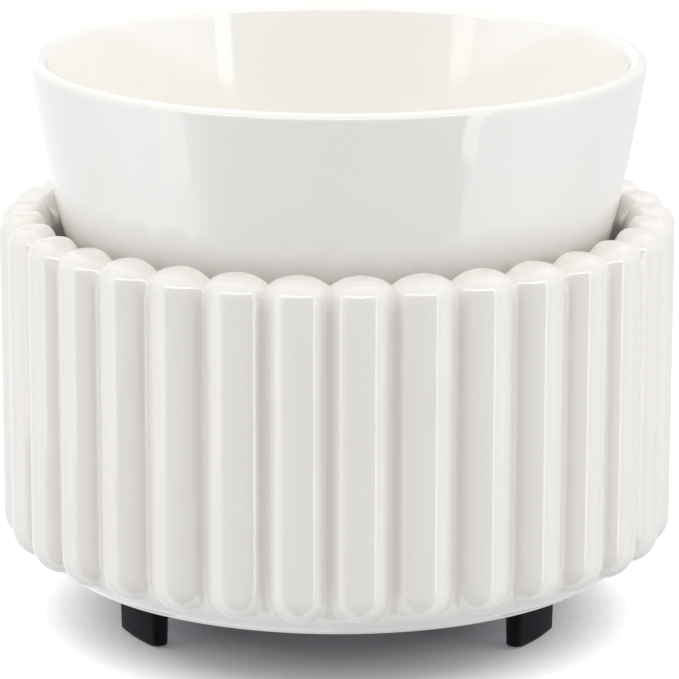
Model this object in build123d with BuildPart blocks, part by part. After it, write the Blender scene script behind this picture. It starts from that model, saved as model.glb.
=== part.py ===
from build123d import *

import os
from math import cos, radians, sin, tan

# Electric wax melt warmer: a fluted ceramic shell on three feet, a lift-out ceramic melt dish
# and, inside, a heated plate with its element, thermostat, thermal fuse, wiring and base.
# Millimetres, +Z up, the front is -Y. The origin is on the floor, on the warmer's axis.

os.makedirs("parts", exist_ok=True)

# The radii add up from the thermostat outwards, through the element, the hot plate and the
# well, to the crests of the ribs: 130 mm across. The heights add up from the floor.

# Heights that show from outside
shell_height = 68.8           # lower edge of the ceramic to the top of the ribs
dish_show = 29.6              # top of the ribs to the rim of the dish

# Fluted shell
rib_count = 33
rib_radius = 6.0
rib_start_angle = -85.9       # first rib, just right of the front
rib_stand = 2.8               # crests outside the valleys between the ribs
shell_wall = 7.3              # from the well to the valleys
rib_foot_rise = 3.9           # lower edge of the ceramic to the lowest point of a rib
rib_inset = 1.3               # the ribs start this far outside the well
rib_bevel_drop = 1.8          # inner bevel of a rib's top starts this far below the top
rib_top_round = 3.6           # rounding over the top of each rib
band_radius = 13.0            # plain curved band below the ribs, seen in section
band_foot_inset = 7.4         # from the valleys in to where that band ends
foot_ring_bevel = 0.6         # bevel between the band and the flat unglazed ring
foot_ring_width = 1.9
rebate_depth = 2.5            # recess that takes the base cover
rebate_step = 3.3             # roof of that recess, as wide as its gasket
base_neck_height = 2.7        # straight part of the base opening
base_flare_height = 8.0       # slope from the opening out to the inner wall
ledge_width = 4.9             # ledge under the plate's flange
ledge_lip = 2.0               # straight edge of the ledge
ledge_slope_height = 6.0      # slope under the ledge
inner_wall_relief = 0.6       # inner wall below the ledge, outside the well

# Melt dish
dish_overhang = 4.2           # rim outside the well, before the rim is rounded
dish_wall = 3.3
dish_upper_curve = 440.0      # section radius of the upper wall
dish_upper_turn = 5.7         # degrees that the upper wall turns through
dish_rim_lean = 8.6           # degrees from upright at the rim
dish_foot_inset = 10.0        # plate's deck edge in to the flat ring that it stands on
dish_foot_width = 4.0
dish_foot_height = 1.2
dish_rim_round_share = 0.48   # of the wall, on both edges of the rim
dish_floor = 4.5              # thickness at the middle
dish_seat_gap = 0.3           # dish above the plate

# Hot plate and its seal
plate_gasket_thickness = 1.0
plate_thickness = 2.0
plate_deck_rise = 3.0         # deck above the flange
plate_side_gap = 0.5          # flange to the well
plate_flange_width = 8.4
plate_ear_gap = 4.0           # clamp plate's ears to the inside of the plate
plate_groove_inset = 16.0     # deck edge in to the middle of the groove
plate_groove_width = 1.6
plate_groove_depth = 0.6
plate_edge_radius = 0.8
gasket_inset = 0.3

# Heater stack, from the plate downwards
mica_thickness = 0.5
stack_bore_gap = 1.9          # around the thermostat's flange
track_bore_margin = 2.8       # from that hole to the middle of the innermost track
track_edge_margin = 3.2       # from the middle of the outermost track to the mica's edge
track_count = 5
track_width = 2.3
track_thickness = 0.3
track_pitch = 3.5
track_gap = 5.2               # break where the tracks turn back
track_gap_angle = -125.0
pad_thickness = 5.0
clamp_thickness = 1.2
clamp_ear_radius = 4.5
stud_outset = 4.0             # stud's axis outside the mica
stud_radius = 2.0
stud_overrun = 2.0            # stud below its nut
stud_count = 3
stud_start_angle = -90.0
washer_radius = 4.2
washer_thickness = 0.8
nut_width = 7.0               # across flats
nut_height = 3.2
thread_gap = 0.1              # around every thread

# Thermostat, in the middle of the stack
thermostat_cap_radius = 7.9
thermostat_flange_radius = 9.6
thermostat_flange_thickness = 0.8
thermostat_body_radius = 7.2
thermostat_body_length = 6.2
thermostat_neck_gap = 0.3     # clamp plate around the body
blade_width = 6.3
blade_thickness = 0.8
blade_length = 4.5
blade_spacing = 8.0
connector_wall = 0.7
connector_gap = 0.1
connector_drop = 0.6          # connector below the blade's end

# Thermal fuse and its clip, under the clamp plate
fuse_radius = 2.0
fuse_length = 11.0
fuse_sleeve_wall = 0.5
fuse_sleeve_length = 24.0
fuse_sleeve_gap = 0.1
fuse_wire_radius = 0.5
fuse_wire_length = 5.0
clip_thickness = 0.6
clip_width = 6.0
clip_ear = 4.5
clip_gap = 0.1

# Tie posts and heat shield
post_inset = 5.3              # post's axis inside the plate's inner wall
post_count = 3
post_start_angle = -150.0
post_width = 7.0              # across flats
tie_stud_length = 9.0
post_stub_length = 6.0        # male end of an upper post inside the lower one
post_bore_spare = 0.5
hole_gap = 0.25               # screws and studs in their clearance holes
shield_thickness = 0.8
shield_side_gap = 2.0         # shield to the base opening that it goes in through
shield_rim_height = 6.0
shield_under_gap = 1.7        # terminal block to the shield
shield_over_gap = 2.2         # shield to the thermostat's connectors
bush_radius = 3.6
bush_neck_radius = 2.6
bush_flange = 0.8
bush_gap = 0.1

# Base cover
base_gasket_thickness = 0.8
cover_thickness = 2.0
cover_side_gap = 0.3
cover_rib_height = 3.2
cover_rib_width = 1.2
cover_boss_radius = 5.0
cover_boss_height = 1.5
vent_count = 11               # across the front half
vent_middle_angle = -90.0
vent_step_angle = 15.0
vent_inset = 7.5              # middle of a vent inside the feet
vent_length = 9.0
vent_width = 1.8
cord_well_angle = 125.0
cord_well_inset = 11.0        # base opening in to the middle of the well
cord_well_width = 15.0
cord_well_length = 15.0
cord_well_wall = 1.8
cord_well_clearance = 1.2     # underside of the well above the floor
cord_well_floor = 1.5
cord_well_corner = 2.0

# Cord gland
gland_bore_radius = 2.6
gland_wall = 0.7
gland_lip = 0.6               # flange outside the neck
gland_flange = 1.6
gland_floor_gap = 0.2         # flange above the floor of the well
gland_cover_gap = 0.8         # flange below the base cover
gland_nose = 1.2
gland_gap = 0.05

# Feet, pads and screws
foot_reach = 6.3              # screw's axis out to the outer face of the foot
foot_thickness = 3.8
foot_width = 15.2
foot_taper = 1.5              # degrees
foot_corner = 1.5
foot_edge_share = 0.45        # lower edge's rounding, of the corner's radius down there
foot_boss_wall = 1.4          # round the screw's head
foot_boss_lip = 0.3           # foot of the boss below the screw's head
pad_width = 1.5
pad_side_inset = 2.6          # from the sides of the foot in to the ends of its pad
pad_recess = 1.1
pad_proud = 0.5
pad_gap = 0.1
screw_radius = 1.95
screw_head_radius = 3.4
screw_head_height = 2.4
screw_seat_height = 8.0       # floor to the seat of the screw head
screw_head_gap = 0.4
screw_slot_radius = 1.5
screw_slot_depth = 1.2
screw_stub_gap = 1.2          # screw's end to the male end of the upper post

# Terminal block
block_side_wall = 2.5         # outside each port
block_depth = 16.0            # along its ports
block_height = 11.0
block_edge = 0.8
port_wall = 0.5               # between a port and the socket for the cover's boss
port_radius = 2.5
insert_bore_radius = 1.6
insert_gap = 0.1
terminal_screw_radius = 1.3
terminal_screw_head_radius = 2.1
terminal_screw_head_height = 1.4
terminal_well_radius = 2.4
block_boss_radius = 2.8
block_boss_height = 5.0
block_boss_gap = 0.2
block_screw_radius = 1.3
block_screw_head_radius = 2.4
block_screw_head_height = 1.6
block_screw_recess = 2.2      # head below the top of the block
block_screw_reach = 3.5

# Wiring
lead_radius = 1.1
lead_bend = 2.6
lead_entry = 4.0              # length inside a terminal
lead_hole_gap = 0.5
lead_stand = 6.5              # upright run of the neutral wire beside the terminal block
lead_spacing = 5.0            # upright run of the live wire beyond that of the neutral
neutral_straight = 4.9        # neutral wire from the thermostat to its first bend's corner
link_straight = 4.5           # straight end of the link wire at the thermostat
cut_over = 1.0                # cuts run past the faces that they open

# Radii, from the thermostat outwards
stack_bore_radius = thermostat_flange_radius + stack_bore_gap
track_inner_radius = stack_bore_radius + track_bore_margin
track_outer_radius = track_inner_radius + (track_count - 1) * track_pitch
mica_radius = track_outer_radius + track_edge_margin
stud_ring_radius = mica_radius + stud_outset
deck_under_radius = stud_ring_radius + clamp_ear_radius + plate_ear_gap
plate_deck_radius = deck_under_radius + plate_thickness
plate_radius = plate_deck_radius + plate_flange_width
plate_groove_radius = plate_deck_radius - plate_groove_inset
shell_bore_radius = plate_radius + plate_side_gap
ledge_radius = shell_bore_radius - ledge_width
inner_wall_radius = shell_bore_radius + inner_wall_relief
valley_radius = shell_bore_radius + shell_wall
crest_radius = valley_radius + rib_stand
rib_ring_radius = crest_radius - rib_radius
lip_radius = shell_wall / 2
dish_rim_radius = shell_bore_radius + dish_overhang
dish_foot_radius = plate_deck_radius - dish_foot_inset

# Radii of the base, from the valleys inwards
band_foot_radius = valley_radius - band_foot_inset
band_reach = band_radius - band_foot_inset
foot_ring_radius = band_foot_radius - foot_ring_bevel
rebate_radius = foot_ring_radius - foot_ring_width
base_opening_radius = rebate_radius - rebate_step
shield_radius = base_opening_radius - shield_side_gap
cord_well_radius = base_opening_radius - cord_well_inset
post_ring_radius = deck_under_radius - post_inset
foot_boss_radius = screw_head_radius + screw_head_gap + foot_boss_wall
foot_outer_radius = post_ring_radius + foot_reach
pad_outer_radius = foot_outer_radius - (foot_thickness - pad_width) / 2
pad_length = foot_width - 2 * pad_side_inset
vent_ring_radius = post_ring_radius - foot_boss_radius - vent_inset

# Levels, from the floor upwards: the gland's room sets how high the cover stands
gland_neck_radius = gland_bore_radius + gland_wall
gland_flange_radius = gland_neck_radius + gland_lip
well_floor_z = cord_well_clearance + cord_well_floor
gland_z = well_floor_z + gland_floor_gap + gland_flange_radius
cover_z = gland_z + gland_flange_radius + gland_cover_gap
cover_top_z = cover_z + cover_thickness
boss_z = cover_top_z + cover_boss_height
rebate_z = cover_top_z + base_gasket_thickness
edge_z = rebate_z - rebate_depth
block_top_z = cover_top_z + block_height
port_z = cover_top_z + block_height / 2
shield_z = block_top_z + shield_under_gap
shield_top_z = shield_z + shield_thickness
screw_reach = shield_z - boss_z - post_stub_length - screw_stub_gap

connector_z = shield_top_z + shield_over_gap
blade_end_z = connector_z + connector_drop
blade_z = blade_end_z + blade_length
blade_lead_z = connector_z + (blade_z - connector_z) / 2
clamp_z = blade_z + thermostat_body_length
fuse_outer_radius = fuse_radius + fuse_sleeve_gap + fuse_sleeve_wall
fuse_z = clamp_z - fuse_outer_radius - clip_gap
washer_z = clamp_z - washer_thickness
nut_z = washer_z - nut_height
stud_end_z = nut_z - stud_overrun
pad_z = clamp_z + clamp_thickness
mica_lower_z = pad_z + pad_thickness
track_z = mica_lower_z + mica_thickness
mica_upper_z = track_z + track_thickness

deck_under_z = mica_upper_z + mica_thickness
deck_z = deck_under_z + plate_thickness
flange_z = deck_under_z - plate_deck_rise
flange_top_z = flange_z + plate_thickness
ledge_z = flange_z - plate_gasket_thickness
dish_z = deck_z + dish_seat_gap

shell_top_z = edge_z + shell_height
lip_z = shell_top_z - rib_radius
rib_low_z = edge_z + rib_foot_rise
rib_centre_low_z = rib_low_z + rib_radius
band_top_z = edge_z + (band_radius**2 - band_reach**2) ** 0.5
dish_rim_z = shell_top_z + dish_show

# Places of the terminal block's ports, and of the element's ends
connector_thickness = blade_thickness + 2 * connector_wall
connector_face_y = (blade_spacing + connector_thickness) / 2
socket_radius = block_boss_radius + block_boss_gap
port_spacing = 2 * (socket_radius + port_wall + port_radius)
block_width = port_spacing + 2 * (port_radius + block_side_wall)
neutral_port_y = connector_face_y + neutral_straight
live_port_y = neutral_port_y + port_spacing
block_y = neutral_port_y + port_spacing / 2
neutral_side = block_depth / 2 + lead_stand
live_side = neutral_side + lead_spacing
tab_side = (track_gap + track_width) / 2
stud_angles = [stud_start_angle + step * 360 / stud_count for step in range(stud_count)]
post_angles = [post_start_angle + step * 360 / post_count for step in range(post_count)]


def polar(radius, angle, height=0.0):
    """Point at a radius and an angle in degrees around the warmer's axis."""
    return (radius * cos(radians(angle)), radius * sin(radians(angle)), height)


def spots(radius, angles):
    """Places around the warmer's axis."""
    return Locations(*[polar(radius, angle) for angle in angles])


def save(piece, label):
    """Label a finished piece and write it as its own file."""
    piece.part.label = label
    export_step(piece.part, "parts/" + label + ".step")


def beside(radius, side, angle):
    """Point at a radius, moved sideways, in a frame turned by an angle in degrees."""
    turn = radians(angle)
    return (radius * cos(turn) - side * sin(turn), radius * sin(turn) + side * cos(turn))


# Places that several pieces share: where the wires meet the element and pass the shield
outer_tab = beside(track_outer_radius, -tab_side, track_gap_angle)
inner_tab = beside(track_inner_radius, tab_side, track_gap_angle)
wire_holes = [outer_tab, inner_tab]
fuse_y = outer_tab[1]
shield_wire_holes = [(neutral_side, neutral_port_y), (live_side, fuse_y)]

# One rib: an upright rod with a domed foot and a rounded top, trimmed inside the wall and
# bevelled at the lip
with BuildPart() as rib:
    with BuildSketch(Plane.XZ):
        with BuildLine():
            rod_low = CenterArc((rib_ring_radius, rib_centre_low_z), rib_radius, -90, 90)
            round_middle = (crest_radius - rib_top_round, shell_top_z - rib_top_round)
            rod_high = CenterArc(round_middle, rib_top_round, 0, 90)
            rod_top = (rib_ring_radius, shell_top_z)
            Line(rod_low @ 1, rod_high @ 0)
            Line(rod_high @ 1, rod_top)
            Line(rod_top, rod_low @ 0)
        make_face()
    revolve(axis=Axis((rib_ring_radius, 0, 0), (0, 0, 1)))
    with BuildSketch(Plane.XZ):
        with BuildLine():
            bevel_radius = shell_bore_radius + rib_inset
            bevel_z = shell_top_z - rib_bevel_drop
            Polyline(
                (0, 0),
                (bevel_radius, 0),
                (bevel_radius, bevel_z),
                (bevel_radius + rib_bevel_drop, shell_top_z),
                (bevel_radius + rib_bevel_drop, shell_top_z + cut_over),
                (0, shell_top_z + cut_over),
                close=True,
            )
        make_face()
    revolve(axis=Axis.Z, mode=Mode.SUBTRACT)

# Fluted shell: a turned wall with a round lip, a ledge and a curved plain band, and the ribs
with BuildPart() as fluted_shell:
    with BuildSketch(Plane.XZ):
        with BuildLine():
            ring_low = Line((rebate_radius, edge_z), (foot_ring_radius, edge_z))
            band_end = (band_foot_radius, edge_z + band_foot_radius - foot_ring_radius)
            Line(ring_low @ 1, band_end)
            wall_low = (valley_radius, band_top_z)
            TangentArc(wall_low, band_end, tangent=(0, -1))
            Line(wall_low, (valley_radius, lip_z))
            lip_middle = (shell_bore_radius + lip_radius, lip_z)
            lip = CenterArc(lip_middle, lip_radius, 0, 180)
            ledge_low_z = ledge_z - ledge_lip
            slope_low_z = ledge_low_z - ledge_slope_height
            neck_z = rebate_z + base_neck_height
            Polyline(
                lip @ 1,
                (shell_bore_radius, ledge_z),
                (ledge_radius, ledge_z),
                (ledge_radius, ledge_low_z),
                (inner_wall_radius, slope_low_z),
                (inner_wall_radius, neck_z + base_flare_height),
                (base_opening_radius, neck_z),
                (base_opening_radius, rebate_z),
                (rebate_radius, rebate_z),
                ring_low @ 0,
            )
        make_face()
    revolve(axis=Axis.Z)
    with PolarLocations(0, rib_count, start_angle=rib_start_angle):
        add(rib.part)
save(fluted_shell, "fluted_shell")

# Melt dish: a turned bowl with a curved flare, a rounded rim and a low foot ring
with BuildPart() as melt_dish:
    with BuildSketch(Plane.XZ):
        with BuildLine():
            rim_outer = (dish_rim_radius, dish_rim_z)
            rim_down = (-sin(radians(dish_rim_lean)), -cos(radians(dish_rim_lean)))
            upper = JernArc(rim_outer, rim_down, dish_upper_curve, -dish_upper_turn)
            foot_edge_point = (dish_foot_radius, dish_z + dish_foot_height)
            TangentArc(upper @ 1, foot_edge_point, tangent=upper % 1)
            inner_foot_radius = dish_foot_radius - dish_foot_width
            Polyline(
                foot_edge_point,
                (dish_foot_radius, dish_z),
                (inner_foot_radius, dish_z),
                (inner_foot_radius, dish_z + dish_foot_height),
                (0, dish_z + dish_foot_height),
                (0, dish_rim_z),
                rim_outer,
            )
        make_face()
    revolve(axis=Axis.Z)
    with BuildSketch(Plane.XZ):
        with BuildLine():
            rim_inner = (dish_rim_radius - dish_wall, dish_rim_z)
            inner_curve = dish_upper_curve - dish_wall
            upper_inner = JernArc(rim_inner, rim_down, inner_curve, -dish_upper_turn)
            floor_z = dish_z + dish_foot_height + dish_floor
            end_lean = dish_rim_lean + dish_upper_turn
            corner_radius = ((upper_inner @ 1).Y - floor_z) / (1 - sin(radians(end_lean)))
            corner = JernArc(upper_inner @ 1, upper_inner % 1, corner_radius, end_lean - 90)
            Polyline(corner @ 1, (0, floor_z), (0, dish_rim_z), rim_inner)
        make_face()
    revolve(axis=Axis.Z, mode=Mode.SUBTRACT)
    rim_edges = melt_dish.edges().filter_by(GeomType.CIRCLE).group_by(Axis.Z)[-1]
    fillet(rim_edges, dish_wall * dish_rim_round_share)
save(melt_dish, "melt_dish")

# Hot plate: a pressed aluminium pan, its flange on the ledge and its deck under the dish
with BuildPart() as hot_plate:
    with BuildSketch(Plane.XZ):
        with BuildLine():
            Polyline(
                (0, deck_under_z),
                (deck_under_radius, deck_under_z),
                (deck_under_radius, flange_z),
                (plate_radius, flange_z),
                (plate_radius, flange_top_z),
                (plate_deck_radius, flange_top_z),
                (plate_deck_radius, deck_z),
                (0, deck_z),
                close=True,
            )
        make_face()
    revolve(axis=Axis.Z)
    deck_edge = hot_plate.edges().filter_by(GeomType.CIRCLE).group_by(Axis.Z)[-1]
    fillet(deck_edge, plate_edge_radius)
    with BuildSketch(Plane.XY.offset(deck_z)):
        Circle(plate_groove_radius + plate_groove_width / 2)
        Circle(plate_groove_radius - plate_groove_width / 2, mode=Mode.SUBTRACT)
    extrude(amount=-plate_groove_depth, mode=Mode.SUBTRACT)
save(hot_plate, "hot_plate")

# Gasket ring between the plate's flange and the ledge of the shell
with BuildPart() as plate_gasket:
    with BuildSketch(Plane.XY.offset(ledge_z)):
        Circle(plate_radius - gasket_inset)
        Circle(ledge_radius + gasket_inset, mode=Mode.SUBTRACT)
    extrude(amount=plate_gasket_thickness)
save(plate_gasket, "plate_gasket")


def stack_ring(piece_z, thickness, hole_places):
    """Flat ring of the heater stack, with holes for the wires that pass through it."""
    with BuildPart() as ring:
        with BuildSketch(Plane.XY.offset(piece_z)):
            Circle(mica_radius)
            Circle(stack_bore_radius, mode=Mode.SUBTRACT)
            for place in hole_places:
                with Locations(place):
                    Circle(lead_radius + lead_hole_gap, mode=Mode.SUBTRACT)
        extrude(amount=thickness)
    return ring


mica_upper = stack_ring(mica_upper_z, mica_thickness, [])
save(mica_upper, "mica_upper")
mica_lower = stack_ring(mica_lower_z, mica_thickness, wire_holes)
save(mica_lower, "mica_lower")
insulation_pad = stack_ring(pad_z, pad_thickness, wire_holes)
save(insulation_pad, "insulation_pad")

# Heating element: one flat track that turns back on itself at a break, ring after ring
with BuildPart() as heating_element:
    with BuildSketch(Plane.XY.offset(track_z)):
        for ring in range(track_count):
            middle = track_outer_radius - ring * track_pitch
            Circle(middle + track_width / 2)
            Circle(middle - track_width / 2, mode=Mode.SUBTRACT)
        with Locations(Rotation(0, 0, track_gap_angle)):
            break_length = track_outer_radius + track_width
            Rectangle(break_length, track_gap, align=(Align.MIN, Align.CENTER),
                      mode=Mode.SUBTRACT)
            for ring in range(track_count - 1):
                link_radius = track_outer_radius - (ring + 1 / 2) * track_pitch
                side = tab_side if ring % 2 == 0 else -tab_side
                with Locations((link_radius, side)):
                    Rectangle(track_pitch, track_width)
    extrude(amount=track_thickness)
save(heating_element, "heating_element")

# Clamp plate: holds the stack against the hot plate, with an ear for each stud
with BuildPart() as clamp_plate:
    with BuildSketch(Plane.XY.offset(clamp_z)):
        Circle(mica_radius)
        for angle in stud_angles:
            with Locations(Rotation(0, 0, angle)):
                Rectangle(stud_ring_radius, clamp_ear_radius * 2, align=(Align.MIN, Align.CENTER))
        with spots(stud_ring_radius, stud_angles):
            Circle(clamp_ear_radius)
        with spots(stud_ring_radius, stud_angles):
            Circle(stud_radius + hole_gap, mode=Mode.SUBTRACT)
        Circle(thermostat_body_radius + thermostat_neck_gap, mode=Mode.SUBTRACT)
        with Locations(*wire_holes):
            Circle(lead_radius + lead_hole_gap, mode=Mode.SUBTRACT)
    extrude(amount=clamp_thickness)
save(clamp_plate, "clamp_plate")

# Studs welded under the hot plate, with the washers and nuts that hold the clamp plate
with BuildPart() as clamp_studs:
    with BuildSketch(Plane.XY.offset(stud_end_z)):
        with spots(stud_ring_radius, stud_angles):
            Circle(stud_radius)
    extrude(amount=deck_under_z - stud_end_z)
save(clamp_studs, "clamp_studs")

with BuildPart() as clamp_washers:
    with BuildSketch(Plane.XY.offset(washer_z)):
        with spots(stud_ring_radius, stud_angles):
            Circle(washer_radius)
            Circle(stud_radius + hole_gap, mode=Mode.SUBTRACT)
    extrude(amount=washer_thickness)
save(clamp_washers, "clamp_washers")

with BuildPart() as clamp_nuts:
    with BuildSketch(Plane.XY.offset(nut_z)):
        with spots(stud_ring_radius, stud_angles):
            RegularPolygon(nut_width / 2, 6, major_radius=False)
            Circle(stud_radius + thread_gap, mode=Mode.SUBTRACT)
    extrude(amount=nut_height)
save(clamp_nuts, "clamp_nuts")

# Thermostat: metal cap and flange against the plate, moulded body, two blades
with BuildPart() as thermostat_cap:
    with BuildSketch(Plane.XY.offset(pad_z)):
        Circle(thermostat_flange_radius)
        Circle(thermostat_body_radius + thread_gap, mode=Mode.SUBTRACT)
    extrude(amount=thermostat_flange_thickness)
    with BuildSketch(Plane.XY.offset(pad_z + thermostat_flange_thickness)):
        Circle(thermostat_cap_radius)
    extrude(amount=deck_under_z - pad_z - thermostat_flange_thickness)
save(thermostat_cap, "thermostat_cap")

with BuildPart() as thermostat_body:
    with BuildSketch(Plane.XY.offset(blade_z)):
        Circle(thermostat_body_radius)
    extrude(amount=pad_z + thermostat_flange_thickness - blade_z)
save(thermostat_body, "thermostat_body")

blade_places = [(0, -blade_spacing / 2), (0, blade_spacing / 2)]
with BuildPart() as thermostat_blades:
    with BuildSketch(Plane.XY.offset(blade_end_z)):
        with Locations(*blade_places):
            Rectangle(blade_width, blade_thickness)
    extrude(amount=blade_length)
save(thermostat_blades, "thermostat_blades")

with BuildPart() as spade_connectors:
    with BuildSketch(Plane.XY.offset(connector_z)):
        with Locations(*blade_places):
            Rectangle(blade_width + 2 * connector_wall, connector_thickness)
    extrude(amount=blade_z - connector_gap - connector_z)
    with BuildSketch(Plane.XY.offset(blade_end_z - connector_gap)):
        with Locations(*blade_places):
            Rectangle(blade_width + 2 * connector_gap, blade_thickness + 2 * connector_gap)
    extrude(amount=blade_length + cut_over, mode=Mode.SUBTRACT)
save(spade_connectors, "spade_connectors")

# Thermal fuse in its sleeve, strapped under the clamp plate
with BuildPart() as thermal_fuse:
    with BuildSketch(Plane.YZ.offset(-fuse_length / 2)):
        with Locations((fuse_y, fuse_z)):
            Circle(fuse_radius)
    extrude(amount=fuse_length)
    with BuildSketch(Plane.YZ.offset(-fuse_length / 2 - fuse_wire_length)):
        with Locations((fuse_y, fuse_z)):
            Circle(fuse_wire_radius)
    extrude(amount=fuse_length + 2 * fuse_wire_length)
save(thermal_fuse, "thermal_fuse")

with BuildPart() as fuse_sleeve:
    with BuildSketch(Plane.YZ.offset(-fuse_sleeve_length / 2)):
        with Locations((fuse_y, fuse_z)):
            Circle(fuse_outer_radius)
            Circle(fuse_radius + fuse_sleeve_gap, mode=Mode.SUBTRACT)
    extrude(amount=fuse_sleeve_length)
save(fuse_sleeve, "fuse_sleeve")

clip_bore = fuse_outer_radius + clip_gap
clip_outer = clip_bore + clip_thickness
with BuildPart() as fuse_clip:
    with BuildSketch(Plane.YZ.offset(-clip_width / 2)):
        with Locations((fuse_y, fuse_z)):
            Circle(clip_outer)
            Rectangle(clip_outer * 2, clip_outer, align=(Align.CENTER, Align.MIN),
                      mode=Mode.SUBTRACT)
            Rectangle(clip_outer * 2, clamp_z - fuse_z, align=(Align.CENTER, Align.MIN))
        with Locations((fuse_y, clamp_z)):
            ear_span = 2 * (clip_outer + clip_ear)
            Rectangle(ear_span, clip_thickness, align=(Align.CENTER, Align.MAX))
        with Locations((fuse_y, fuse_z)):
            Circle(clip_bore, mode=Mode.SUBTRACT)
            Rectangle(clip_bore * 2, clip_outer, align=(Align.CENTER, Align.MIN),
                      mode=Mode.SUBTRACT)
    extrude(amount=clip_width)
save(fuse_clip, "fuse_clip")

# Tie posts: short studs under the plate, upper posts with a male end, and lower posts
with BuildPart() as tie_studs:
    with BuildSketch(Plane.XY.offset(deck_under_z - tie_stud_length)):
        with spots(post_ring_radius, post_angles):
            Circle(stud_radius)
    extrude(amount=tie_stud_length)
save(tie_studs, "tie_studs")

with BuildPart() as upper_posts:
    with BuildSketch(Plane.XY.offset(shield_top_z)):
        with spots(post_ring_radius, post_angles):
            RegularPolygon(post_width / 2, 6, major_radius=False)
    extrude(amount=deck_under_z - shield_top_z)
    with BuildSketch(Plane.XY.offset(shield_z - post_stub_length)):
        with spots(post_ring_radius, post_angles):
            Circle(screw_radius)
    extrude(amount=post_stub_length + shield_thickness)
    with BuildSketch(Plane.XY.offset(deck_under_z)):
        with spots(post_ring_radius, post_angles):
            Circle(stud_radius + thread_gap)
    extrude(amount=-tie_stud_length - post_bore_spare, mode=Mode.SUBTRACT)
save(upper_posts, "upper_posts")

with BuildPart() as lower_posts:
    with BuildSketch(Plane.XY.offset(boss_z)):
        with spots(post_ring_radius, post_angles):
            RegularPolygon(post_width / 2, 6, major_radius=False)
            Circle(screw_radius + thread_gap, mode=Mode.SUBTRACT)
    extrude(amount=shield_z - boss_z)
save(lower_posts, "lower_posts")

# Heat shield: a thin tray held between the upper and lower posts, and its wire bushes
with BuildPart() as heat_shield:
    with BuildSketch(Plane.XY.offset(shield_z)):
        Circle(shield_radius)
    extrude(amount=shield_thickness)
    with BuildSketch(Plane.XY.offset(shield_z)):
        Circle(shield_radius)
        Circle(shield_radius - shield_thickness, mode=Mode.SUBTRACT)
    extrude(amount=shield_rim_height)
    shield_low_edge = heat_shield.edges().filter_by(GeomType.CIRCLE).group_by(Axis.Z)[0]
    chamfer(shield_low_edge, shield_thickness / 2)
    with BuildSketch(Plane.XY.offset(shield_z)):
        with spots(post_ring_radius, post_angles):
            Circle(screw_radius + hole_gap)
        with Locations(*shield_wire_holes):
            Circle(bush_neck_radius + bush_gap)
    extrude(amount=shield_thickness, mode=Mode.SUBTRACT)
save(heat_shield, "heat_shield")

with BuildPart() as shield_bushes:
    with BuildSketch(Plane.XY.offset(shield_top_z)):
        with Locations(*shield_wire_holes):
            Circle(bush_radius)
    extrude(amount=bush_flange)
    with BuildSketch(Plane.XY.offset(shield_z - bush_flange)):
        with Locations(*shield_wire_holes):
            Circle(bush_neck_radius)
    extrude(amount=bush_flange + shield_thickness)
    with BuildSketch(Plane.XY.offset(shield_z - bush_flange)):
        with Locations(*shield_wire_holes):
            Circle(lead_radius + bush_gap)
    extrude(amount=2 * bush_flange + shield_thickness, mode=Mode.SUBTRACT)
save(shield_bushes, "shield_bushes")

# Base cover: a plastic disc in the rebate of the shell, with a locating rib, post bosses,
# vents, the terminal block's boss and the well that the cord enters
well_plane = Plane(origin=(0, 0, cord_well_clearance), x_dir=polar(1, cord_well_angle),
                   z_dir=(0, 0, 1))
well_face_radius = cord_well_radius + cord_well_length / 2
gland_plane = Plane(origin=polar(well_face_radius, cord_well_angle, gland_z),
                    z_dir=polar(1, cord_well_angle))
with BuildPart() as bottom_cover:
    with BuildSketch(Plane.XY.offset(cover_z)):
        Circle(rebate_radius - cover_side_gap)
    extrude(amount=cover_thickness)
    with BuildSketch(Plane.XY.offset(cover_top_z)):
        Circle(base_opening_radius - cover_side_gap)
        Circle(base_opening_radius - cover_side_gap - cover_rib_width, mode=Mode.SUBTRACT)
    extrude(amount=cover_rib_height)
    with BuildSketch(Plane.XY.offset(cover_top_z)):
        with spots(post_ring_radius, post_angles):
            Circle(cover_boss_radius)
    extrude(amount=cover_boss_height)
    with BuildSketch(Plane.XY.offset(cover_top_z)):
        with Locations((0, block_y)):
            Circle(block_boss_radius)
    extrude(amount=block_boss_height)
    with BuildSketch(well_plane):
        with Locations((cord_well_radius, 0)):
            RectangleRounded(cord_well_length, cord_well_width, cord_well_corner)
    extrude(amount=cover_z - cord_well_clearance)
    with BuildSketch(well_plane.offset(cord_well_floor)):
        with Locations((cord_well_radius, 0)):
            Rectangle(cord_well_length - 2 * cord_well_wall,
                      cord_well_width - 2 * cord_well_wall)
    extrude(amount=cover_top_z, mode=Mode.SUBTRACT)
    with BuildSketch(gland_plane):
        Circle(gland_neck_radius + gland_gap)
    extrude(amount=-cord_well_wall - cut_over, mode=Mode.SUBTRACT)
    with BuildSketch(Plane.XY.offset(cover_z)):
        with spots(post_ring_radius, post_angles):
            Circle(screw_radius + hole_gap)
        vent_spread = vent_count * vent_step_angle
        vent_start = vent_middle_angle - (vent_spread - vent_step_angle) / 2
        with PolarLocations(vent_ring_radius, vent_count, vent_start, vent_spread):
            SlotOverall(vent_length, vent_width)
    extrude(amount=cover_thickness + cover_boss_height, mode=Mode.SUBTRACT)
    with BuildSketch(Plane.XY.offset(cover_top_z + block_boss_height)):
        with Locations((0, block_y)):
            Circle(block_screw_radius + thread_gap)
    extrude(amount=-block_boss_height, mode=Mode.SUBTRACT)
save(bottom_cover, "bottom_cover")

# Gasket ring between the base cover and the roof of the rebate
with BuildPart() as base_gasket:
    with BuildSketch(Plane.XY.offset(cover_top_z)):
        Circle(rebate_radius - cover_side_gap)
        Circle(base_opening_radius + cover_side_gap, mode=Mode.SUBTRACT)
    extrude(amount=base_gasket_thickness)
save(base_gasket, "base_gasket")

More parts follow.
